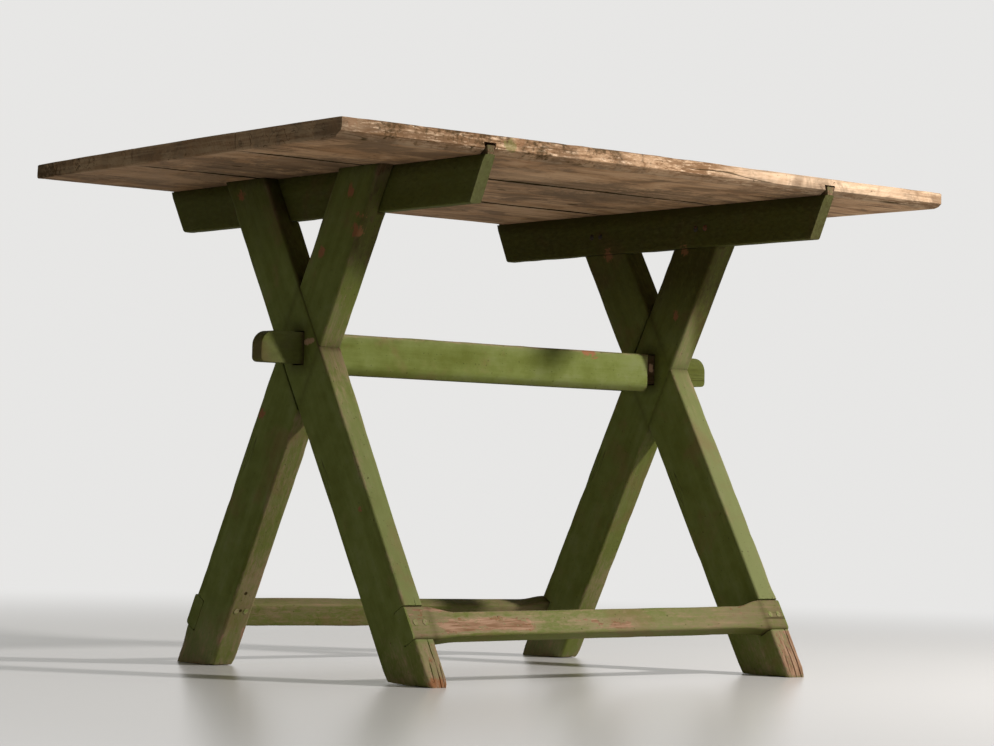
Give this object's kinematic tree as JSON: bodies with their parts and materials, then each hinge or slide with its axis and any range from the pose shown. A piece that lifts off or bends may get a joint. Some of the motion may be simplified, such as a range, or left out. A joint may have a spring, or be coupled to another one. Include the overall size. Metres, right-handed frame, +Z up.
{
  "type": "sawbuck table",
  "caption": "Plank-topped table on crossed X trestles joined by a through rail and two foot stretchers, for dining or kitchen work.",
  "frame": {"origin": "on the floor under the middle of the table top", "axes": "+X along the table's length, -Y towards the front long side, +Z up"},
  "size_m": [1.155, 0.774, 0.75],
  "materials": {
    "stripped_pine": "bare worn pine, dry and matt",
    "green_painted_pine": "old green paint, worn through to red undercoat and bare wood",
    "peg_wood": "painted-over end grain",
    "nail_iron": "hand-made nail, rusted and partly painted"
  },
  "bodies": {
    "root": {"top_plank_front": "stripped_pine", "top_plank_middle": "stripped_pine", "top_plank_back": "stripped_pine", "batten_left": "green_painted_pine", "batten_right": "green_painted_pine", "leg_left_front_foot": "green_painted_pine", "leg_left_back_foot": "green_painted_pine", "leg_right_front_foot": "green_painted_pine", "leg_right_back_foot": "green_painted_pine", "centre_rail": "green_painted_pine", "foot_stretcher_front": "green_painted_pine", "foot_stretcher_back": "green_painted_pine", "stretcher_pegs_left_front": "peg_wood", "stretcher_pegs_left_back": "peg_wood", "stretcher_pegs_right_front": "peg_wood", "stretcher_pegs_right_back": "peg_wood", "batten_nails_left_front": "nail_iron", "batten_nails_left_back": "nail_iron", "batten_nails_right_front": "nail_iron", "batten_nails_right_back": "nail_iron"}
  },
  "joints": []
}
